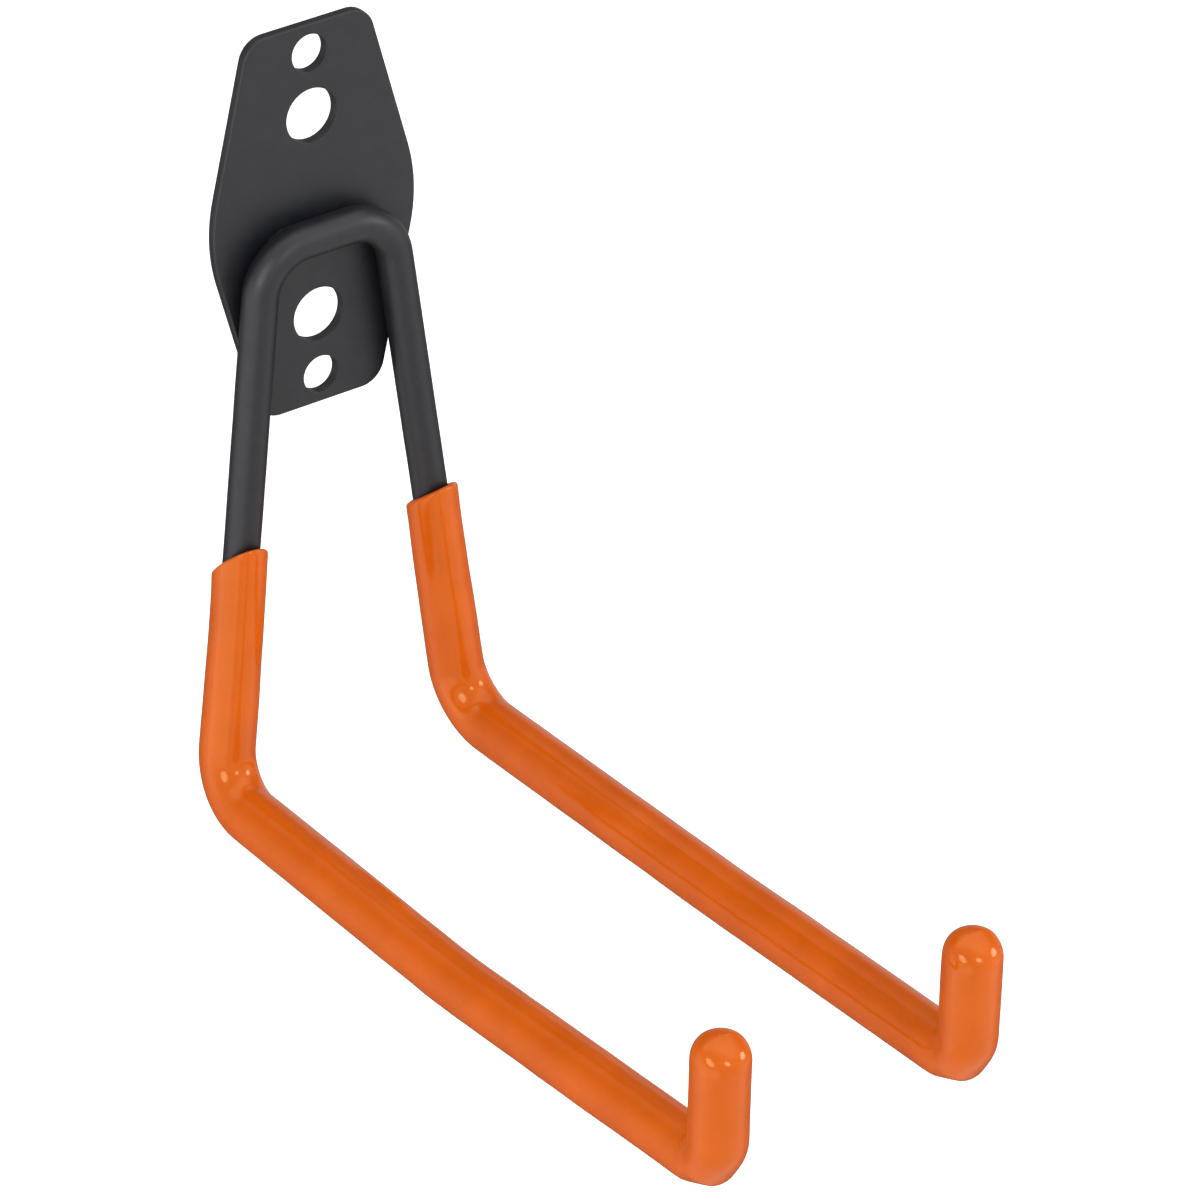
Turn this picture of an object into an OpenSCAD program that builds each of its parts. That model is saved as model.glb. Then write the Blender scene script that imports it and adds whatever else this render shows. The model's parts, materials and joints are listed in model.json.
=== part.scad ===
// Double-arm wall hook: a steel plate that screws to the wall, one bent round
// bar welded across it, and a closed soft sleeve on each arm.
// Millimetres. X = 0 is the mirror plane, the wall is the plane Y = 0, the arms
// reach towards -Y and +Z is up. The origin is the centre of the plate's back.

/* [Wall plate] */
// Height of the plate
plate_h = 90; // [84:1:120]
// Width across the two side corners
plate_w = 53; // [50:1:70]
// Width of the top and bottom edges
plate_edge_w = 30; // [24:1:40]
// Thickness of the plate
plate_t = 2.5; // [2:0.5:4]
// Radius of the four end corners
end_corner_r = 6; // [3:0.5:8]
// Radius of the two blunt side corners
side_corner_r = 40; // [20:5:60]

/* [Screw holes] */
// Diameter of the two inner holes
inner_hole_d = 12.5; // [10:0.5:13]
// Distance between the inner holes
inner_hole_gap = 47.4; // [46:0.2:50]
// Diameter of the two outer holes
outer_hole_d = 8.6; // [6:0.2:9]
// Distance between the outer holes
outer_hole_gap = 76.6; // [74:0.2:78]

/* [Bent bar] */
// Diameter of the steel bar
bar_d = 8; // [6:0.5:9]
// Height of the crossbar's axis above the plate's centre
crossbar_z = -2.5; // [-4:0.5:2]
// Distance between the legs' axes where they meet the crossbar's axis
leg_top_gap = 31.4; // [30:0.2:40]
// Distance between the arms' axes
arm_gap = 62.6; // [56:0.2:90]
// Drop from the crossbar's axis to the arms' axes at the wall
leg_drop = 128.5; // [110:0.5:180]
// Reach of the arms, from the legs' axes to the upturned ends' axes
arm_reach = 184.3; // [120:0.1:260]
// Rise of the front half of each arm, in degrees
front_rise = 3.3; // [0:0.1:8]
// Rise of the rear half of each arm, in degrees
rear_rise = 1; // [0:0.1:8]
// Outward bow at the middle of each arm
arm_bow = 1; // [0:0.1:3]
// Length of the upturned ends, along their axis, to the top of the sleeve
tip_len = 32.8; // [26:0.2:60]
// Forward lean of the upturned ends, in degrees
tip_lean = 3; // [0:0.5:20]
// Axis radius of the two bends beside the crossbar
top_bend_r = 11.2; // [10:0.2:12]
// Axis radius of the two bends at the foot of the legs
foot_bend_r = 11.8; // [9:0.2:20]
// Axis radius of the two bends at the front of the arms
front_bend_r = 7; // [7:0.5:12]

/* [Sleeves] */
// Outer diameter at the open end
sleeve_back_d = 11.8; // [11:0.1:12.8]
// Outer diameter along the arm and at the closed end
sleeve_front_d = 12.7; // [11.4:0.1:13.4]
// Height of the middle of the sleeve's mouth above the foot of the leg
sleeve_rise = 57; // [30:1:80]
// Slant of the mouth, which is cut higher at the front than at the wall
mouth_slant = 38; // [0:1:45]

/* [Welds] */
// Radius of the weld beads
bead_r = 0.8; // [0.8:0.1:1.8]
// How far each bead follows the two bends, in degrees
bead_wrap = 30; // [10:5:60]

/* [Hidden] */
$fn = 64;
eps = 0.01;
// The bar draws down a little in its bends: each bend is this much smaller in
// radius, and the straights run this far into it.
draw_down = 0.03;
lap = 0.15;
// How deep each weld bead bites into the bar.
bead_bite = 0.55;

bar_r = bar_d / 2;
bar_y = -(plate_t + bar_r);
arm_mid = arm_reach / 2;
wall_end_z = crossbar_z - leg_drop;
mid_z = wall_end_z + arm_mid * tan(rear_rise);
front_z = mid_z + arm_mid * tan(front_rise);

// Corners of the bar's axis on the right-hand side, from the crossbar down.
leg_top = [leg_top_gap / 2, bar_y, crossbar_z];
leg_foot = [arm_gap / 2, bar_y, wall_end_z];
arm_middle = [arm_gap / 2 + arm_bow, bar_y - arm_mid, mid_z];
arm_front = [arm_gap / 2, bar_y - arm_reach, front_z];
tip_dir = [0, -sin(tip_lean), cos(tip_lean)];
// The sleeve ends in a half ball; the bar stops a little above its centre.
dome_centre = arm_front + (tip_len - sleeve_front_d / 2) * tip_dir;
bar_end = dome_centre + tip_dir;
// The gentle bend at the arm's middle has a long radius.
middle_bend_r = 300;

leg_dir = (leg_foot - leg_top) / norm(leg_foot - leg_top);
mouth_centre = leg_foot + leg_dir * sleeve_rise / leg_dir.z;
// The tube starts above the whole mouth, and the slanted cut takes its end off.
mouth_top = mouth_centre - leg_dir * (sleeve_back_d * tan(mouth_slant) / 2 + 2);

leg_tilt = atan((arm_gap - leg_top_gap) / 2 / leg_drop);
// Half the crossbar's straight length, between its two bends.
straight_half = leg_top_gap / 2 - top_bend_r * tan((90 - leg_tilt) / 2);
// Height of a bead's axis, on the plate's face, from the bar's axis.
bead_height = sqrt(pow(bar_r + bead_r - bead_bite, 2) - pow(bar_r, 2));

function unit(v) = v / norm(v);
function square_to(v) = unit(abs(v.x) < 0.9 ? cross(v, [1, 0, 0]) : cross(v, [0, 1, 0]));

// Half the angle that the axis turns through at corner b.
function half_turn(a, b, c) = 90 - acos(unit(a - b) * unit(c - b)) / 2;

// Where the bend at corner b starts, on the side of corner a.
function bend_start(a, b, c, r) = b + unit(a - b) * r * tan(half_turn(a, b, c));

function bend_centre(a, b, c, r) =
    b + unit(unit(a - b) + unit(c - b)) * r / cos(half_turn(a, b, c));

// Places children with local X, Y and Z along x, y and z, and its origin at p.
module placed(x, y, z, p) {
    multmatrix([
        [x.x, y.x, z.x, p.x],
        [x.y, y.y, z.y, p.y],
        [x.z, y.z, z.z, p.z],
        [0, 0, 0, 1]
    ])
        children();
}

module straight(p, q, d1, d2) {
    along = unit(q - p);
    side = square_to(along);
    placed(side, cross(along, side), along, p)
        cylinder(h = norm(q - p), d1 = d1, d2 = d2);
}

module bend(a, b, c, r, d) {
    start = bend_start(a, b, c, r);
    centre = bend_centre(a, b, c, r);
    out = unit(start - centre);
    ahead = unit(b - a);
    placed(out, ahead, cross(out, ahead), centre)
        rotate_extrude(angle = 2 * half_turn(a, b, c))
            translate([r, 0])
                circle(r = d / 2 - draw_down);
}

// A round bar along the corners p, with a bend of radius r[i] at each inner
// corner i and the diameter d[i] there. Straights taper from one to the next.
module bent_bar(p, r, d) {
    last = len(p) - 1;
    for (i = [1 : last - 1])
        bend(p[i - 1], p[i], p[i + 1], r[i], d[i]);
    for (i = [0 : last - 1]) {
        ahead = unit(p[i + 1] - p[i]);
        straight(
            i == 0 ? p[0] : bend_start(p[i + 1], p[i], p[i - 1], r[i]) - lap * ahead,
            i == last - 1 ? p[last] : bend_start(p[i], p[i + 1], p[i + 2], r[i + 1]) + lap * ahead,
            d[i],
            d[i + 1]
        );
    }
}

// The bar's corners and bend radii, from the left end to the right end.
right_corners = [leg_top, leg_foot, arm_middle, arm_front, bar_end];
right_bends = [top_bend_r, foot_bend_r, middle_bend_r, front_bend_r, 0];
bar_corners = [
    for (i = [4 : -1 : 0]) [-right_corners[i].x, right_corners[i].y, right_corners[i].z],
    each right_corners
];
bar_bends = [for (i = [4 : -1 : 0]) right_bends[i], each right_bends];

module hook_rod() {
    color("dimgray")
        bent_bar(bar_corners, bar_bends, [for (corner = bar_corners) bar_d]);
}

// Corners of the plate's outline before rounding, and the radius of each.
plate_corners = [
    [plate_edge_w / 2, plate_h / 2],
    [-plate_edge_w / 2, plate_h / 2],
    [-plate_w / 2, 0],
    [-plate_edge_w / 2, -plate_h / 2],
    [plate_edge_w / 2, -plate_h / 2],
    [plate_w / 2, 0]
];
plate_radii = [
    end_corner_r, end_corner_r, side_corner_r,
    end_corner_r, end_corner_r, side_corner_r
];

// Points of the rounded corner i, a step of about 4 degrees apart.
function corner_arc(i) =
    let (
        count = len(plate_corners),
        a = plate_corners[(i + count - 1) % count],
        b = plate_corners[i],
        c = plate_corners[(i + 1) % count],
        r = plate_radii[i],
        centre = bend_centre(a, b, c, r),
        arm = bend_start(a, b, c, r) - centre,
        turn = 2 * half_turn(a, b, c),
        steps = ceil(turn / 4)
    )
    [for (k = [0 : steps])
        let (t = turn * k / steps)
        centre + [arm.x * cos(t) - arm.y * sin(t), arm.x * sin(t) + arm.y * cos(t)]
    ];

module screw_hole(z, d) {
    translate([0, eps, z])
        rotate([90, 0, 0])
            cylinder(h = plate_t + 2 * eps, d = d);
}

module wall_plate() {
    color("dimgray")
        difference() {
            rotate([90, 0, 0])
                linear_extrude(plate_t)
                    polygon([for (i = [0 : 5]) each corner_arc(i)]);
            for (side = [-1, 1]) {
                screw_hole(side * inner_hole_gap / 2, inner_hole_d);
                screw_hole(side * outer_hole_gap / 2, outer_hole_d);
            }
        }
}

// Half of a bead along the crossbar, at height h from the bar's axis.
module half_bead(h) {
    r = top_bend_r + h;
    translate([-eps, 0, 0])
        rotate([0, 90, 0])
            translate([-h, 0, 0])
                cylinder(h = straight_half + lap + eps, r = bead_r);
    translate([straight_half, 0, -top_bend_r])
        rotate([90, 0, 0])
            rotate([0, 0, 90 - bead_wrap]) {
                rotate_extrude(angle = bead_wrap)
                    translate([r, 0])
                        circle(r = bead_r - draw_down);
                translate([r, 0, 0])
                    sphere(r = bead_r - 2 * draw_down);
            }
}

// A fillet bead in the corner between the plate and the bar.
module weld_bead(h) {
    color("dimgray")
        difference() {
            translate([0, -plate_t, crossbar_z]) {
                half_bead(h);
                mirror([1, 0, 0]) half_bead(h);
            }
            translate([-plate_w / 2, -plate_t, -plate_h / 2])
                cube([plate_w, 2 * bead_r, plate_h]);
            hook_rod();
        }
}

module weld_upper() {
    weld_bead(bead_height);
}

module weld_lower() {
    weld_bead(-bead_height);
}

module sleeve_right() {
    reach = 2 * sleeve_back_d;
    color("darkorange")
        difference() {
            union() {
                bent_bar(
                    [mouth_top, leg_foot, arm_middle, arm_front, dome_centre],
                    [0, foot_bend_r, middle_bend_r, front_bend_r, 0],
                    [sleeve_back_d, for (i = [1 : 4]) sleeve_front_d]
                );
                translate(dome_centre)
                    sphere(r = sleeve_front_d / 2 - draw_down);
            }
            translate(mouth_centre)
                rotate([-mouth_slant, 0, 0])
                    translate([-reach / 2, -reach / 2, 0])
                        cube([reach, reach, reach]);
            hook_rod();
        }
}

module sleeve_left() {
    mirror([1, 0, 0]) sleeve_right();
}

wall_plate();
hook_rod();
weld_upper();
weld_lower();
sleeve_left();
sleeve_right();
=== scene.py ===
"""Looks of a double-arm wall hook: a coated steel plate and bent bar, with an orange sleeve on each arm."""
import json
from functools import partial
from math import atan2, ceil, cos, hypot, pi, radians, sin, tan

import bpy
import numpy as np
from mathutils import Matrix, Vector, geometry, noise

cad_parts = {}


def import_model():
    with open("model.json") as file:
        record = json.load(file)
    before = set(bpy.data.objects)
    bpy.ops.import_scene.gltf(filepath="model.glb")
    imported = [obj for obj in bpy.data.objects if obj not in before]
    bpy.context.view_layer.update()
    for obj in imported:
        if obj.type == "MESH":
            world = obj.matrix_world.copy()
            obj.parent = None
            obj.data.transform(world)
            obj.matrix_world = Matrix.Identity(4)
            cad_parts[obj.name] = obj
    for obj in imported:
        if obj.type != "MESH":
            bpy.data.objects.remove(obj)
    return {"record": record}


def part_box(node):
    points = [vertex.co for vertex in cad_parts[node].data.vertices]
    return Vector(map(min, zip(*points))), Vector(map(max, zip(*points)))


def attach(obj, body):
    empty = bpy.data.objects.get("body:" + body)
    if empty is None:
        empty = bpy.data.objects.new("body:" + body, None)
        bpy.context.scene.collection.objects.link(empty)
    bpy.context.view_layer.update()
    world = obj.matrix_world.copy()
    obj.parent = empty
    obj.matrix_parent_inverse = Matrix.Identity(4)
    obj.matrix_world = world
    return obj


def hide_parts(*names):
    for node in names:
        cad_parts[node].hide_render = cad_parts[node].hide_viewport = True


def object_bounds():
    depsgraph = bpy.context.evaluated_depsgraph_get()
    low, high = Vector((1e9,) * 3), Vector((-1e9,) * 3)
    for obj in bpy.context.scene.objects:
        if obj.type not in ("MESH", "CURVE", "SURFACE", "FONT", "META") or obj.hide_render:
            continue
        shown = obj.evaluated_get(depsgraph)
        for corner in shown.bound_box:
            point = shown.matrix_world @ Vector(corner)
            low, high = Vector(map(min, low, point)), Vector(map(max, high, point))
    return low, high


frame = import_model()
cad_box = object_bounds()

# Lengths in the shape code are in millimetres, and meshes are made in metres.
MM = 0.001

# ---- Sizes of the design ----
PLATE_TOP_W = 30
END_CORNER_R = 6
SIDE_CORNER_R = 40
PLATE_EDGE_R = 0.45
HOLE_EDGE_R = 0.12
# Spacing of the mesh on the plate's flat faces, and the bare ring it leaves round each hole.
FACE_STEP = 1.5
FACE_MARGIN = 0.7

BAR_R = 4
CROSSBAR_Z = -2.5
LEG_TOP_X = 15.7
ARM_X = 31.3
LEG_DROP = 128.5
ARM_REACH = 184.3
FRONT_RISE = radians(3.3)
REAR_RISE = radians(1)
ARM_BOW = 1
TIP_LEN = 32.8
TIP_LEAN = radians(3)
TOP_BEND_R = 11.2
FOOT_BEND_R = 11.8
MIDDLE_BEND_R = 300
FRONT_BEND_R = 7
# A bend up to this radius deforms the bar and the sleeve in full, and a wider one less.
TIGHT_BEND_R = 30
BAR_SIDES = 56
# Cold bends flatten the bar a little on the outside and let it swell at the sides.
BEND_SWELL = 0.12
BEND_FLATTENING = 0.1
BAR_WAVE = 9
BAR_WAVE_HEIGHT = 0.03

SLEEVE_BACK_R = 5.9
SLEEVE_FRONT_R = 6.35
SLEEVE_RISE = 57
# Each mouth is cut by hand, a few degrees off the design's slant.
MOUTH_SLANT = {"sleeve_left": radians(44), "sleeve_right": radians(35)}
MOUTH_BORE_R = 4.35
# How far down the leg the mouth's oblique cut and its sideways shift fade away.
MOUTH_FADE = 16
MOUTH_SHIFT = 0.3
# How far the mouth's rounded lip reaches along the sleeve.
LIP = 1.0
SLEEVE_SIDES = 72
CAP_RINGS = 20
# Height of the closed end above its centre, as a share of the sleeve's radius, and its slope to the front.
CAP_HEIGHT = 0.985
CAP_TILT = 0.35
# The powers of the sine and cosine that give the end's height and radius. A half ball has 1 for both.
CAP_HEIGHT_POWER = 0.82
CAP_RADIUS_POWER = 0.8
# The soft wall bunches up by this much in the bend at the foot.
FOOT_SWELL = 0.08
# The wall's long and short waves, and how far it is drawn in so that they stay inside the design.
LONG_WAVE = 16
LONG_WAVE_HEIGHT = 0.09
SHORT_WAVE = 7
SHORT_WAVE_HEIGHT = 0.04
WAVE_INSET = 0.06
WAVE_SEED = {"sleeve_left": 11, "sleeve_right": 17}
# The outside of the sleeve's front bend is two flats that meet in a low corner, the toe. Each is the
# direction it faces, from straight down round to the front, its distance from the bend's centre, and how
# sharp its upper edge is.
TOE_FLATS = ((radians(53), 12.65, 16), (radians(19), 12.5, 90))
UNDERSIDE_SHARPNESS = 60
# The flats are blended in between these directions.
TOE_START = -radians(40)
TOE_END = radians(125)

BEAD_R = 0.8
BEAD_BITE = 0.55
BEAD_WRAP = radians(30)
BEAD_HEIGHT = ((BAR_R + BEAD_R - BEAD_BITE) ** 2 - BAR_R ** 2) ** 0.5
BEAD_SIDES = 24
# A bead is a row of drops this far apart, laid in short steps, and thins out over this length at its ends.
DROP_PITCH = 2.4
BEAD_STEP = 0.4
BEAD_END = 2.5
BEAD_LUMP = 1.4
BEAD_LUMP_HEIGHT = 0.1
# How far the bead's flat side lies inside the plate.
BEAD_SINK = 0.2


def box_mm(node):
    """The lowest and highest corner of a CAD node, in millimetres."""
    low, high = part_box(node)
    return np.array(low) / MM, np.array(high) / MM


plate_low, plate_high = box_mm("wall_plate")
PLATE_T = plate_high[1] - plate_low[1]
PLATE_H = plate_high[2] - plate_low[2]
PLATE_W = 53
BAR_Y = -(PLATE_T + BAR_R)


# ---- Paths ----
def unit(v):
    return v / np.linalg.norm(v)


def half_turn(a, b, c):
    """Half the angle that a path turns through at corner b."""
    return pi / 2 - np.arccos(np.clip(unit(a - b) @ unit(c - b), -1, 1)) / 2


def rounded_path(corners, radii, step=1.2, turn_step=radians(4)):
    """Points along a line through the corners with a bend of the given radius at each inner one.

    Also gives, for each point, a vector to the inside of its bend. It is zero long on a straight, one long
    in the middle of a tight bend, and shorter in a wide one.
    """
    corners = [np.array(c, float) for c in corners]
    points, inward = [], []
    here = corners[0]
    for i in range(1, len(corners)):
        last = i == len(corners) - 1
        b = corners[i]
        if last:
            end = b
        else:
            a, c, r = corners[i - 1], corners[i + 1], radii[i]
            half = half_turn(a, b, c)
            end = b + unit(a - b) * r * tan(half)
        count = max(1, ceil(np.linalg.norm(end - here) / step))
        for k in range(count + (1 if last else 0)):
            points.append(here + (end - here) * k / count)
            inward.append(np.zeros(3))
        if last:
            break
        centre = b + unit(unit(a - b) + unit(c - b)) * r / cos(half)
        arm = end - centre
        ahead = unit(b - a)
        steps = max(2, ceil(max(2 * half / turn_step, 2 * half * r / step)))
        for k in range(steps):
            t = 2 * half * k / steps
            spoke = arm * cos(t) + ahead * r * sin(t)
            points.append(centre + spoke)
            inward.append(-unit(spoke) * sin(pi * k / steps) * min(1, TIGHT_BEND_R / r))
        here = centre + arm * cos(2 * half) + ahead * r * sin(2 * half)
    return np.array(points), np.array(inward)


def along(points):
    """Distance along a path to each of its points."""
    return np.concatenate([[0], np.cumsum(np.linalg.norm(np.diff(points, axis=0), axis=1))])


def frames(points, side):
    """Unit vectors at each point: ahead, and two across that don't twist, the first close to side."""
    ahead = np.gradient(points, axis=0)
    ahead /= np.linalg.norm(ahead, axis=1)[:, None]
    across = []
    previous = np.array(side, float)
    for t in ahead:
        previous = unit(previous - (previous @ t) * t)
        across.append(previous)
    across = np.array(across)
    return ahead, across, np.cross(ahead, across)


# ---- Meshes ----
def new_mesh(name, verts, faces, material, smooth_angle=None):
    """A smooth-shaded object from vertices in millimetres."""
    mesh = bpy.data.meshes.new(name)
    mesh.from_pydata([tuple(v) for v in np.array(verts) * MM], [], [tuple(f) for f in faces])
    mesh.validate()
    mesh.shade_smooth()
    if smooth_angle is not None:
        mesh.set_sharp_from_angle(angle=smooth_angle)
    mesh.materials.append(material)
    piece = bpy.data.objects.new(name, mesh)
    bpy.context.scene.collection.objects.link(piece)
    return piece


def tube_faces(rings, sides, start_cap, end_cap):
    """Quads of a tube of rings, and a fan to one more vertex at each capped end."""
    faces = []
    for i in range(rings - 1):
        for j in range(sides):
            k = (j + 1) % sides
            faces.append((i * sides + j, i * sides + k, (i + 1) * sides + k, (i + 1) * sides + j))
    pole = rings * sides
    if start_cap:
        faces += [(pole, (j + 1) % sides, j) for j in range(sides)]
        pole += 1
    if end_cap:
        base = (rings - 1) * sides
        faces += [(pole, base + j, base + (j + 1) % sides) for j in range(sides)]
    return faces


def ripple(points, size, seed):
    """Smooth noise from -1 to 1 at points, with features of about the given size in millimetres."""
    offset = Vector((seed, 2.7 * seed, -1.3 * seed))
    flat = points.reshape(-1, 3)
    values = [noise.noise(Vector(p) / size + offset) for p in flat]
    return np.array(values).reshape(points.shape[:-1])


def ride(piece, node):
    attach(piece, "root")
    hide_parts(node)


# ---- Materials ----
class Nodes:
    """Short ways to add nodes to one material."""

    def __init__(self, name):
        self.material = bpy.data.materials.new(name)
        self.material.use_nodes = True
        self.tree = self.material.node_tree
        self.shader = self.tree.nodes["Principled BSDF"]
        self.place = self.add("ShaderNodeTexCoord").outputs["Object"]

    def add(self, kind, **settings):
        made = self.tree.nodes.new(kind)
        for name, value in settings.items():
            setattr(made, name, value)
        return made

    def link(self, source, target):
        self.tree.links.new(source, target)

    def noise(self, size, detail=2.0, rough=0.5):
        """Noise from 0 to 1 with features of about size millimetres."""
        made = self.add("ShaderNodeTexNoise")
        made.inputs["Scale"].default_value = 1 / (size * MM)
        made.inputs["Detail"].default_value = detail
        made.inputs["Roughness"].default_value = rough
        self.link(self.place, made.inputs["Vector"])
        return made.outputs["Fac"]

    def spread(self, value, low, high, start=0.3, end=0.7):
        """A value mapped from start..end to low..high."""
        made = self.add("ShaderNodeMapRange")
        for key, number in zip(("From Min", "From Max", "To Min", "To Max"), (start, end, low, high)):
            made.inputs[key].default_value = number
        self.link(value, made.inputs["Value"])
        return made.outputs["Result"]

    def mix(self, share, a, b):
        """Colour a turning to colour b by share. A colour is three numbers or another node's output."""
        made = self.add("ShaderNodeMix", data_type="RGBA")
        self.link(share, made.inputs["Factor"])
        for socket, colour in ((made.inputs[6], a), (made.inputs[7], b)):
            if isinstance(colour, tuple):
                socket.default_value = (*colour, 1)
            else:
                self.link(colour, socket)
        return made.outputs[2]

    def bump(self, height, depth, previous=None):
        """A bump of the given depth in millimetres, on top of an earlier one."""
        made = self.add("ShaderNodeBump")
        made.inputs["Distance"].default_value = depth * MM
        self.link(height, made.inputs["Height"])
        if previous is not None:
            self.link(previous, made.inputs["Normal"])
        return made.outputs["Normal"]


def powder_coat(name, colour, light, peel_depth, roughness):
    """Fine-textured charcoal powder coat: orange peel, a faint mottle and tiny pale specks."""
    n = Nodes(name)
    mottle = n.noise(3.5, detail=4)
    specks = n.spread(n.noise(0.35, detail=1), 0, 1, start=0.68, end=0.78)
    base = n.mix(n.spread(mottle, 0, 1), colour, light)
    pale = tuple(3 * c for c in colour)
    n.link(n.mix(specks, base, pale), n.shader.inputs["Base Color"])
    grain = n.spread(n.noise(2.0, detail=3), roughness - 0.03, roughness + 0.03)
    n.link(grain, n.shader.inputs["Roughness"])
    peel = n.bump(n.noise(0.9, detail=1.5), peel_depth)
    n.link(n.bump(n.noise(0.3, detail=1), peel_depth * 0.4, peel), n.shader.inputs["Normal"])
    n.shader.inputs["Specular IOR Level"].default_value = 0.48
    return n.material


def soft_vinyl():
    """Orange vinyl: a soft gloss, a slightly uneven colour and a skin that isn't quite flat."""
    n = Nodes("sleeve_vinyl")
    cloud = n.noise(14, detail=3)
    orange = n.mix(n.spread(cloud, 0, 1), (0.42, 0.067, 0.002), (0.475, 0.079, 0.003))
    n.link(orange, n.shader.inputs["Base Color"])
    n.link(n.spread(n.noise(5, detail=4), 0.1, 0.16), n.shader.inputs["Roughness"])
    skin = n.bump(n.noise(2.5, detail=2), 0.02)
    n.link(n.bump(n.noise(0.4, detail=1), 0.003, skin), n.shader.inputs["Normal"])
    n.shader.inputs["Subsurface Weight"].default_value = 0.15
    n.shader.inputs["Subsurface Radius"].default_value = (1, 0.3, 0.1)
    n.shader.inputs["Subsurface Scale"].default_value = 1.5 * MM
    n.shader.inputs["Specular IOR Level"].default_value = 0.45
    n.shader.inputs["Specular Tint"].default_value = (1, 0.8, 0.4, 1)
    return n.material


CHARCOAL = (0.004, 0.0045, 0.007)
LIGHT_CHARCOAL = (0.006, 0.0065, 0.009)
PLATE_COAT = powder_coat("plate_coat", CHARCOAL, LIGHT_CHARCOAL, 0.01, 0.44)
BAR_COAT = powder_coat("bar_coat", CHARCOAL, LIGHT_CHARCOAL, 0.014, 0.44)
VINYL = soft_vinyl()


# ---- Wall plate ----
def plate_outline(inset):
    """The plate's outline, as x and z, moved inwards by inset. Every inset has the same number of points."""
    corners = [
        np.array(p)
        for p in (
            (PLATE_TOP_W / 2, PLATE_H / 2),
            (-PLATE_TOP_W / 2, PLATE_H / 2),
            (-PLATE_W / 2, 0),
            (-PLATE_TOP_W / 2, -PLATE_H / 2),
            (PLATE_TOP_W / 2, -PLATE_H / 2),
            (PLATE_W / 2, 0),
        )
    ]
    radii = [END_CORNER_R, END_CORNER_R, SIDE_CORNER_R] * 2
    outline = []
    for i, b in enumerate(corners):
        a, c, r = corners[i - 1], corners[(i + 1) % len(corners)], radii[i]
        half = half_turn(a, b, c)
        centre = b + unit(unit(a - b) + unit(c - b)) * r / cos(half)
        arm = b + unit(a - b) * r * tan(half) - centre
        steps = ceil(2 * half / radians(3))
        for k in range(steps + 1):
            t = 2 * half * k / steps
            turned = np.array([arm[0] * cos(t) - arm[1] * sin(t), arm[0] * sin(t) + arm[1] * cos(t)])
            outline.append(centre + turned * (r - inset) / r)
    return np.array(outline)


def hole_outline(z, radius, inset, sides=64):
    """The rim of a screw hole at a height, as x and z, moved into the metal by inset."""
    turns = np.arange(sides) * 2 * pi / sides
    radius = radius + inset
    return np.stack([radius * np.cos(turns), z + radius * np.sin(turns)], axis=1)


def rounded_edge(radius, depth, steps=5):
    """(inset, distance behind the front face) pairs of a wall whose two edges are rounded."""
    arc = [pi / 2 * k / steps for k in range(steps + 1)]
    front = [(radius * (1 - sin(t)), radius * (1 - cos(t))) for t in arc]
    return front + [(inset, depth - back) for inset, back in reversed(front)]


def screw_holes():
    """(height, radius) of each of the plate's screw holes, from the record's mounts."""
    found = []
    for mount in frame["record"]["mounts"]:
        if mount["kind"] == "bolt_pattern":
            half_gap = mount["dims"]["spacing_y_mm"] / 2
            radius = mount["dims"]["hole_r_mm"]
            found += [(half_gap, radius), (-half_gap, radius)]
    return found


def inside(outline, x, z):
    """Whether a point lies inside a convex outline that runs anticlockwise."""
    a, b = outline, np.roll(outline, -1, axis=0)
    return bool(np.all((b[:, 0] - a[:, 0]) * (z - a[:, 1]) - (b[:, 1] - a[:, 1]) * (x - a[:, 0]) > 0))


def clear_of_holes(x, z, holes, margin):
    """Whether a point of the plate's face lies more than margin outside every hole."""
    return all(hypot(x, z - hole_z) > hole_r + margin for hole_z, hole_r in holes)


def add_wall(verts, faces, outline, edge_r, turn):
    """Adds the wall with rounded edges that follows an outline through the plate.

    Turn is -1 for the plate's own outline and 1 for a hole. Gives the number of vertices in a ring, and the
    first vertex of the front ring and of the back ring.
    """
    profile = rounded_edge(edge_r, PLATE_T)
    front = len(verts)
    count = len(outline(0))
    for inset, back in profile:
        verts += [(x, -PLATE_T + back, z) for x, z in outline(inset)]
    for i in range(len(profile) - 1):
        near = front + i * count
        far = near + count
        for j in range(count):
            k = (j + 1) % count
            faces.append([near + j, near + k, far + k, far + j][::turn])
    return count, front, front + (len(profile) - 1) * count


def add_flat(verts, faces, rings, holes, y, turn):
    """Adds one flat face of the plate, as triangles between the (count, first vertex) rings of its walls.

    Turn is 1 for the front face and -1 for the back.
    """
    flat, owner, edges = [], [], []
    for count, first in rings:
        start = len(flat)
        flat += [(verts[first + j][0], verts[first + j][2]) for j in range(count)]
        owner += range(first, first + count)
        edges += [(start + j, start + (j + 1) % count) for j in range(count)]
    inner = plate_outline(PLATE_EDGE_R + FACE_STEP)
    for x in np.arange(-PLATE_W / 2, PLATE_W / 2, FACE_STEP):
        for z in np.arange(-PLATE_H / 2, PLATE_H / 2, FACE_STEP):
            if clear_of_holes(x, z, holes, HOLE_EDGE_R + FACE_MARGIN) and inside(inner, x, z):
                flat.append((x, z))
                owner.append(len(verts))
                verts.append((x, y, z))
    made = geometry.delaunay_2d_cdt([Vector(p) for p in flat], edges, [], 1, 1e-6)
    triangles, sources = made[2], made[3]
    for triangle in triangles:
        ids = [sources[v][0] for v in triangle]
        x, z = np.mean([flat[v] for v in ids], axis=0)
        if clear_of_holes(x, z, holes, HOLE_EDGE_R):
            faces.append([owner[v] for v in ids][::turn])


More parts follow.
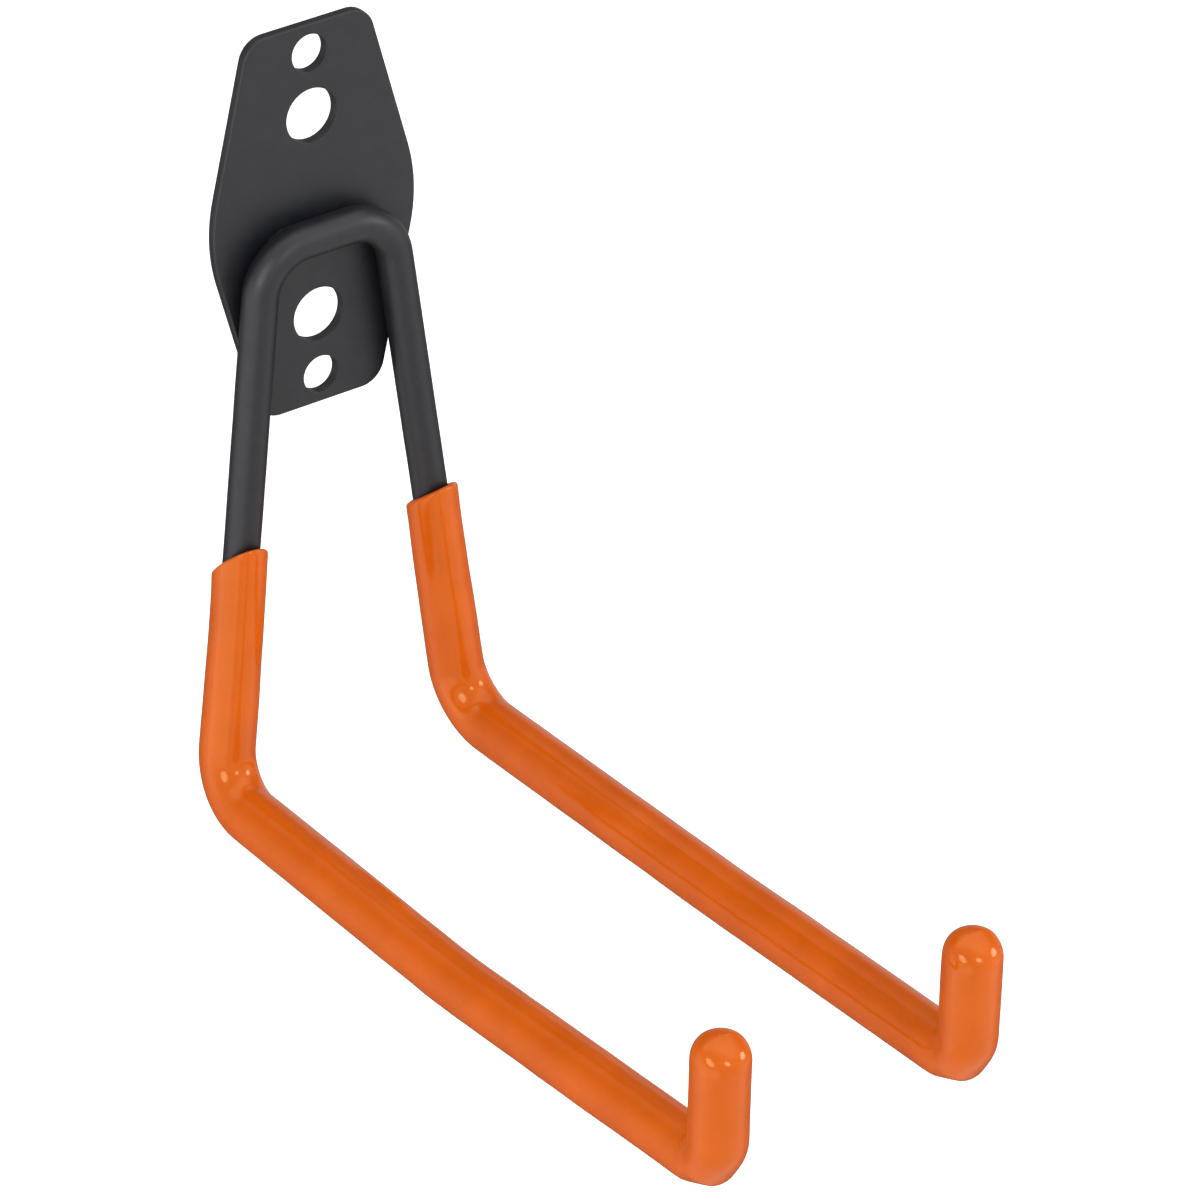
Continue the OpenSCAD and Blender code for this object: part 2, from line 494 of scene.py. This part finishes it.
def wall_plate():
    holes = screw_holes()
    verts, faces = [], []
    walls = [add_wall(verts, faces, plate_outline, PLATE_EDGE_R, -1)]
    for z, radius in holes:
        walls.append(add_wall(verts, faces, partial(hole_outline, z, radius), HOLE_EDGE_R, 1))
    add_flat(verts, faces, [(count, front) for count, front, back in walls], holes, -PLATE_T, 1)
    add_flat(verts, faces, [(count, back) for count, front, back in walls], holes, 0.0, -1)
    piece = new_mesh("plate", verts, faces, PLATE_COAT, smooth_angle=radians(40))
    ride(piece, "wall_plate")


# ---- Bent bar ----
def mirrored(p):
    return np.array([-p[0], p[1], p[2]])


WALL_END_Z = CROSSBAR_Z - LEG_DROP
MID_Z = WALL_END_Z + ARM_REACH / 2 * tan(REAR_RISE)
FRONT_Z = MID_Z + ARM_REACH / 2 * tan(FRONT_RISE)
LEG_TOP = np.array([LEG_TOP_X, BAR_Y, CROSSBAR_Z])
LEG_FOOT = np.array([ARM_X, BAR_Y, WALL_END_Z])
ARM_MIDDLE = np.array([ARM_X + ARM_BOW, BAR_Y - ARM_REACH / 2, MID_Z])
ARM_FRONT = np.array([ARM_X, BAR_Y - ARM_REACH, FRONT_Z])
TIP_DIR = np.array([0, -sin(TIP_LEAN), cos(TIP_LEAN)])
DOME_CENTRE = ARM_FRONT + (TIP_LEN - SLEEVE_FRONT_R) * TIP_DIR
LEG_DIR = unit(LEG_FOOT - LEG_TOP)
MOUTH_CENTRE = LEG_FOOT + LEG_DIR * SLEEVE_RISE / LEG_DIR[2]


def grid_points(points, across, up, ahead, radii, shift):
    """Points of a tube: ring i, side j is radii[i, j] out and shift[i, j] further along."""
    sides = radii.shape[1]
    turns = np.arange(sides) * 2 * pi / sides
    out = np.cos(turns)[None, :, None] * across[:, None] + np.sin(turns)[None, :, None] * up[:, None]
    return points[:, None] + radii[..., None] * out + shift[..., None] * ahead[:, None], out


def hook_rod():
    right = [LEG_TOP, LEG_FOOT, ARM_MIDDLE, ARM_FRONT, DOME_CENTRE]
    corners = [mirrored(p) for p in reversed(right)] + right
    bends = [TOP_BEND_R, FOOT_BEND_R, MIDDLE_BEND_R, FRONT_BEND_R, 0]
    points, inward = rounded_path(corners, bends[::-1] + bends)
    ahead, across, up = frames(points, (1, 0, 0))
    radii = np.full((len(points), BAR_SIDES), float(BAR_R))
    shift = np.zeros_like(radii)
    grid, out = grid_points(points, across, up, ahead, radii, shift)
    toward = np.einsum("ijk,ik->ij", out, inward)
    strength = np.linalg.norm(inward, axis=1)[:, None]
    radii += BEND_SWELL * strength * (1 - np.abs(toward)) - BEND_FLATTENING * np.clip(-toward, 0, 1)
    radii += BAR_WAVE_HEIGHT * ripple(grid, BAR_WAVE, 3)
    radii = np.minimum(radii, BAR_R + BEND_SWELL)
    grid, _ = grid_points(points, across, up, ahead, radii, shift)
    verts = list(grid.reshape(-1, 3)) + [points[0], points[-1]]
    piece = new_mesh("bar", verts, tube_faces(len(points), BAR_SIDES, True, True), BAR_COAT)
    ride(piece, "hook_rod")


# ---- Welds ----
def weld(node, height):
    """A fillet bead in the corner between the plate and the bar, at a height from the bar's axis."""
    radius = TOP_BEND_R + height
    leg_tilt = atan2(ARM_X - LEG_TOP_X, LEG_DROP)
    half = LEG_TOP_X - TOP_BEND_R * tan((pi / 2 - leg_tilt) / 2)
    centre = np.array([half, -PLATE_T, CROSSBAR_Z - TOP_BEND_R])
    arc = [
        centre + radius * np.array([sin(t), 0, cos(t)])
        for t in np.linspace(0, BEAD_WRAP, max(4, ceil(BEAD_WRAP * radius / BEAD_STEP)))
    ]
    straight = [np.array([x, -PLATE_T, CROSSBAR_Z + height]) for x in np.arange(0, half, BEAD_STEP)]
    right = straight + arc
    points = np.array([mirrored(p) for p in right[:0:-1]] + right)
    ahead, across, up = frames(points, (0, -1, 0))
    distance = along(points)
    # The bead swells a little at each drop, and falls to about a third of its radius at its ends.
    drops = np.abs(np.sin(distance * pi / DROP_PITCH + 0.6 * ripple(points, 4, 9)))
    ends = np.clip(np.minimum(distance, distance[-1] - distance) / BEAD_END, 0, 1) ** 0.5
    ring = BEAD_R * (0.9 + 0.08 * drops) * (0.35 + 0.65 * ends)
    radii = np.repeat(ring[:, None], BEAD_SIDES, axis=1)
    shift = np.zeros_like(radii)
    grid, _ = grid_points(points, across, up, ahead, radii, shift)
    radii += BEAD_LUMP_HEIGHT * ripple(grid, BEAD_LUMP, 5)
    grid, _ = grid_points(points, across, up, ahead, radii, shift)
    grid[..., 1] = np.minimum(grid[..., 1], -PLATE_T + BEAD_SINK)
    verts = list(grid.reshape(-1, 3)) + [points[0], points[-1]]
    piece = new_mesh(node + "_bead", verts, tube_faces(len(points), BEAD_SIDES, True, True), BAR_COAT)
    ride(piece, node)


# ---- Sleeves ----
def smaller(a, b, sharpness):
    """The smaller of two lengths, blended smoothly where they are close."""
    return (a ** -sharpness + b ** -sharpness) ** (-1 / sharpness)


def shape_toe(grid):
    """Draws the outside of the front bend in to the flats of the toe."""
    arm_dir = unit(ARM_FRONT - ARM_MIDDLE)
    below = np.array([0, -arm_dir[2], arm_dir[1]])
    full = 2 * half_turn(ARM_MIDDLE, ARM_FRONT, DOME_CENTRE)
    centre = ARM_FRONT + unit(TIP_DIR - arm_dir) * FRONT_BEND_R / cos(full / 2)
    away = grid - centre
    ahead = away @ arm_dir
    down = away @ below
    across = away - ahead[..., None] * arm_dir - down[..., None] * below
    far = np.hypot(ahead, down)
    turn = np.arctan2(ahead, down)
    near = (turn > TOE_START) & (turn < TOE_END)
    turn = np.where(near, turn, 0)

    # How far out each flat, the arm's underside and the tip's front lie in a direction. The cosine's lower
    # limit keeps that finite where one of them faces away.
    outer = FRONT_BEND_R + SLEEVE_FRONT_R
    wanted = outer / np.clip(np.cos(turn - full), 0.05, 1)
    for direction, distance, sharpness in (*TOE_FLATS, (0, outer, UNDERSIDE_SHARPNESS)):
        wanted = smaller(wanted, distance / np.clip(np.cos(turn - direction), 0.05, 1), sharpness)
    plain = outer / np.cos(turn - np.clip(turn, 0, full))
    inner = plain * (FRONT_BEND_R - SLEEVE_FRONT_R) / outer
    drawn = inner + (far - inner) * (wanted - inner) / (plain - inner)
    scale = np.where(near & (far > inner), drawn / far, 1)[..., None]
    return centre + across + scale * (ahead[..., None] * arm_dir + down[..., None] * below)


def mouth_rows():
    """The mouth's lining and rounded lip, from the inside out, as (distance from the end, radius)."""
    rows = [(6.0, BAR_R - 0.2), (6.0, MOUTH_BORE_R), (3.0, MOUTH_BORE_R), (1.0, MOUTH_BORE_R)]
    rows.append((0.35, MOUTH_BORE_R + 0.05))
    wall = SLEEVE_BACK_R - MOUTH_BORE_R
    for t in np.linspace(0, pi / 2, 9):
        rows.append((LIP * (1 - cos(t)), MOUTH_BORE_R + wall * (0.12 + 0.88 * sin(t))))
    return rows


def sample(at, distance, vectors):
    """The vectors of a path, taken between its points at the distances in at."""
    return np.stack([np.interp(at, distance, vectors[:, k]) for k in range(3)], axis=1)


def sleeve(node, mirror):
    """A soft tube over one arm: an open, obliquely cut mouth on the leg and a closed, rounded end."""
    corners = [MOUTH_CENTRE, LEG_FOOT, ARM_MIDDLE, ARM_FRONT, DOME_CENTRE]
    points, inward = rounded_path(corners, [0, FOOT_BEND_R, MIDDLE_BEND_R, FRONT_BEND_R, 0], step=0.8)
    distance = along(points)
    corner_at = [distance[np.argmin(np.linalg.norm(points - c, axis=1))] for c in corners]
    outer = np.interp(distance, corner_at[:2], [SLEEVE_BACK_R, SLEEVE_FRONT_R])

    rows = mouth_rows() + [(s, r) for s, r in zip(distance, outer) if s > LIP + 0.4]
    at, ring_r = np.array(rows).T
    centres = sample(at, distance, points)
    bend_in = sample(at, distance, inward)
    facing = [sample(at, distance, v) for v in frames(points, (1, 0, 0))]
    facing = [v / np.linalg.norm(v, axis=1)[:, None] for v in facing]

    # The closed end's rings shrink round a half ball, drawn out to be flatter on top than a true one.
    t = np.linspace(0, pi / 2, CAP_RINGS + 1)[1:-1]
    heights = CAP_HEIGHT * SLEEVE_FRONT_R * np.sin(t) ** CAP_HEIGHT_POWER
    centres = np.vstack([centres, DOME_CENTRE + heights[:, None] * TIP_DIR])
    ring_r = np.append(ring_r, SLEEVE_FRONT_R * np.cos(t) ** CAP_RADIUS_POWER)
    ahead, across, up = [np.vstack([v, np.repeat(v[-1:], len(t), axis=0)]) for v in facing]
    bend_in = np.vstack([bend_in, np.zeros((len(t), 3))])
    at = np.append(at, distance[-1] + SLEEVE_FRONT_R * np.sin(t))

    radii = np.repeat(ring_r[:, None], SLEEVE_SIDES, axis=1)
    fade = np.clip(1 - at / MOUTH_FADE, 0, 1)[:, None] ** 1.5
    centres = centres + np.array([MOUTH_SHIFT, 0, 0]) * fade
    grid, out = grid_points(centres, across, up, ahead, radii, np.zeros_like(radii))
    toward = np.einsum("ijk,ik->ij", out, bend_in)
    at_foot = (at < corner_at[2])[:, None]
    radii += at_foot * FOOT_SWELL * np.abs(toward)
    # The wall is wavy all over but at the mouth, and the finer waves die out in the bends.
    calm = 1 - np.linalg.norm(bend_in, axis=1)[:, None]
    wave = LONG_WAVE_HEIGHT * ripple(grid, LONG_WAVE, WAVE_SEED[node])
    wave = wave + SHORT_WAVE_HEIGHT * calm * ripple(grid, SHORT_WAVE, 31)
    keep = np.clip((at - 2) / 4, 0, 1)[:, None]
    radii = radii + (wave - WAVE_INSET) * keep
    on_cap = np.clip((at - distance[-1]) / SLEEVE_FRONT_R, 0, 1)[:, None]
    shift = tan(MOUTH_SLANT[node]) * radii * out[..., 1] * fade
    shift = shift + CAP_TILT * on_cap * np.minimum(radii * out[..., 1], 0)
    grid, _ = grid_points(centres, across, up, ahead, radii, shift)
    grid = shape_toe(grid)
    top = DOME_CENTRE + CAP_HEIGHT * SLEEVE_FRONT_R * TIP_DIR
    verts = np.vstack([grid.reshape(-1, 3), top[None]])
    faces = tube_faces(len(at), SLEEVE_SIDES, False, True)
    if mirror:
        verts[:, 0] *= -1
        faces = [f[::-1] for f in faces]
    piece = new_mesh(node.replace("sleeve", "vinyl"), verts, faces, VINYL)
    ride(piece, node)


# ---- Studio ----
VIEW_AZIMUTH = radians(-34.436)
VIEW_ELEVATION = radians(31.155)
VIEW_ROLL = radians(-0.815)
CAMERA_PLACE = Vector((-0.731615, -1.172316, 0.735060))
# The lens and sensor are in millimetres, and the shifts are shares of the picture's width.
SENSOR = 36
LENS = 221.66271
SHIFT_RIGHT = 0.00310833
SHIFT_UP = 0.00845833

BACK = Vector((
    sin(VIEW_AZIMUTH) * cos(VIEW_ELEVATION),
    -cos(VIEW_AZIMUTH) * cos(VIEW_ELEVATION),
    sin(VIEW_ELEVATION),
))
LEVEL_RIGHT = Vector((cos(VIEW_AZIMUTH), sin(VIEW_AZIMUTH), 0))
LEVEL_UP = BACK.cross(LEVEL_RIGHT)


def camera():
    data = bpy.data.cameras.new("camera")
    data.sensor_width = SENSOR
    data.lens = LENS
    data.shift_x = SHIFT_RIGHT
    data.shift_y = SHIFT_UP
    data.clip_start = 0.05
    data.clip_end = 20
    right = LEVEL_RIGHT * cos(VIEW_ROLL) + LEVEL_UP * sin(VIEW_ROLL)
    up = LEVEL_UP * cos(VIEW_ROLL) - LEVEL_RIGHT * sin(VIEW_ROLL)
    made = bpy.data.objects.new("camera", data)
    made.matrix_world = Matrix((
        (right.x, up.x, BACK.x, CAMERA_PLACE.x),
        (right.y, up.y, BACK.y, CAMERA_PLACE.y),
        (right.z, up.z, BACK.z, CAMERA_PLACE.z),
        (0, 0, 0, 1),
    ))
    bpy.context.scene.collection.objects.link(made)
    bpy.context.scene.camera = made


def soft_light(name, aside, above, spread, brightness, reflected=True, distance=1.3):
    """A round soft light, at angles in degrees to the right of and above the line from hook to camera.

    Spread is its radius as an angle in degrees, and a white wall has brightness 1. A light that isn't
    reflected only lifts the diffuse colours.
    """
    a, e = radians(aside), radians(above)
    direction = BACK * cos(a) * cos(e) + LEVEL_RIGHT * sin(a) * cos(e) + LEVEL_UP * sin(e)
    radius = distance * tan(radians(spread))
    data = bpy.data.lights.new(name, "AREA")
    data.shape = "DISK"
    data.size = 2 * radius
    data.energy = brightness * pi * pi * radius ** 2
    made = bpy.data.objects.new(name, data)
    low, high = cad_box
    made.location = (low + high) / 2 + direction * distance
    made.rotation_mode = "QUATERNION"
    made.rotation_quaternion = direction.to_track_quat("Z", "Y")
    made.visible_camera = False
    made.visible_glossy = reflected
    bpy.context.scene.collection.objects.link(made)


def floor():
    """A plain pale floor well below the hook, which hangs on a wall."""
    material = bpy.data.materials.new("floor_white")
    material.use_nodes = True
    shader = material.node_tree.nodes["Principled BSDF"]
    shader.inputs["Base Color"].default_value = (0.9, 0.9, 0.9, 1)
    shader.inputs["Roughness"].default_value = 0.9
    shader.inputs["Emission Color"].default_value = (1, 1, 1, 1)
    shader.inputs["Emission Strength"].default_value = 0.3
    half, depth = 6, -0.55
    mesh = bpy.data.meshes.new("floor")
    corners = [(-half, -half, depth), (half, -half, depth), (half, half, depth), (-half, half, depth)]
    mesh.from_pydata(corners, [], [(0, 1, 2, 3)])
    mesh.materials.append(material)
    made = bpy.data.objects.new("floor", mesh)
    made.visible_glossy = False
    bpy.context.scene.collection.objects.link(made)


class Sky:
    """The studio round the hook, as brightness by direction. A white wall has brightness 1."""

    def __init__(self):
        made = bpy.data.worlds.new("studio")
        bpy.context.scene.world = made
        made.use_nodes = True
        self.tree = made.node_tree
        self.tree.nodes.clear()
        self.direction = self.add("ShaderNodeTexCoord").outputs["Generated"]

    def add(self, kind, **settings):
        node = self.tree.nodes.new(kind)
        for name, value in settings.items():
            setattr(node, name, value)
        return node

    def part(self, axis):
        """The part of the direction along a unit axis."""
        dot = self.add("ShaderNodeVectorMath", operation="DOT_PRODUCT")
        self.tree.links.new(self.direction, dot.inputs[0])
        dot.inputs[1].default_value = axis
        return dot.outputs["Value"]

    def step(self, value, start, end, low=0.0, high=1.0):
        """Goes smoothly from low to high as value goes from start to end."""
        ramp = self.add("ShaderNodeMapRange", interpolation_type="SMOOTHSTEP")
        for key, number in zip(("From Min", "From Max", "To Min", "To Max"), (start, end, low, high)):
            ramp.inputs[key].default_value = number
        self.tree.links.new(value, ramp.inputs["Value"])
        return ramp.outputs["Result"]

    def math(self, operation, *values):
        node = self.add("ShaderNodeMath", operation=operation)
        for socket, value in zip(node.inputs, values):
            if isinstance(value, (int, float)):
                socket.default_value = value
            else:
                self.tree.links.new(value, socket)
        return node.outputs[0]

    def product(self, *values):
        result = values[0]
        for value in values[1:]:
            result = self.math("MULTIPLY", result, value)
        return result

    def total(self, *values):
        result = values[0]
        for value in values[1:]:
            result = self.math("ADD", result, value)
        return result

    def background(self, strength):
        node = self.add("ShaderNodeBackground")
        node.inputs["Color"].default_value = (1, 1, 1, 1)
        if isinstance(strength, (int, float)):
            node.inputs["Strength"].default_value = strength
        else:
            self.tree.links.new(strength, node.inputs["Strength"])
        return node.outputs[0]

    def finish(self, strength):
        """White to the camera, and the given brightness to everything else."""
        path = self.add("ShaderNodeLightPath")
        mix = self.add("ShaderNodeMixShader")
        self.tree.links.new(path.outputs["Is Camera Ray"], mix.inputs[0])
        self.tree.links.new(self.background(strength), mix.inputs[1])
        self.tree.links.new(self.background(1.0), mix.inputs[2])
        output = self.add("ShaderNodeOutputWorld")
        self.tree.links.new(mix.outputs[0], output.inputs["Surface"])


def world():
    """A pale room, a little dimmer on the left and dark behind the hook.

    Behind and beside the hook are a low dim wall and a bright ceiling. In front is a soft panel on the left.
    """
    sky = Sky()
    front = sky.part((sin(VIEW_AZIMUTH), -cos(VIEW_AZIMUTH), 0))
    right = sky.part(LEVEL_RIGHT)
    up = sky.part((0, 0, 1))
    room = sky.product(sky.step(right, 0.5, -0.4, 1.1, 0.85), sky.step(front, -0.5, 0.1, 0.15, 1.0))
    behind = sky.step(front, 0.45, 0.2)
    wall = sky.product(
        behind,
        sky.step(up, -0.45, -0.3),
        sky.step(up, 0.34, 0.24),
        sky.step(right, -0.3, 0.3, 0.12, 0.36),
    )
    ceiling = sky.product(behind, sky.step(up, 0.55, 0.85), 1.1)
    panel = sky.product(
        sky.step(right, -0.02, -0.08),
        sky.step(front, 0.0, 0.25),
        sky.step(up, 0.35, -0.15),
        sky.step(up, -0.66, -0.52),
        1.05,
    )
    sky.finish(sky.total(room, wall, ceiling, panel))


wall_plate()
hook_rod()
weld("weld_upper", BEAD_HEIGHT)
weld("weld_lower", -BEAD_HEIGHT)
sleeve("sleeve_right", mirror=False)
sleeve("sleeve_left", mirror=True)
camera()
floor()
world()
soft_light("light_left", -27, -4, 14, 6)
soft_light("light_front", 29, 6, 7, 9)
soft_light("light_right", 80, 20, 9, 9)
soft_light("fill_left", -105, 0, 30, 1.0, reflected=False)
soft_light("fill_right", 105, 10, 30, 1.4, reflected=False)
bpy.context.scene.view_settings.view_transform = "Standard"
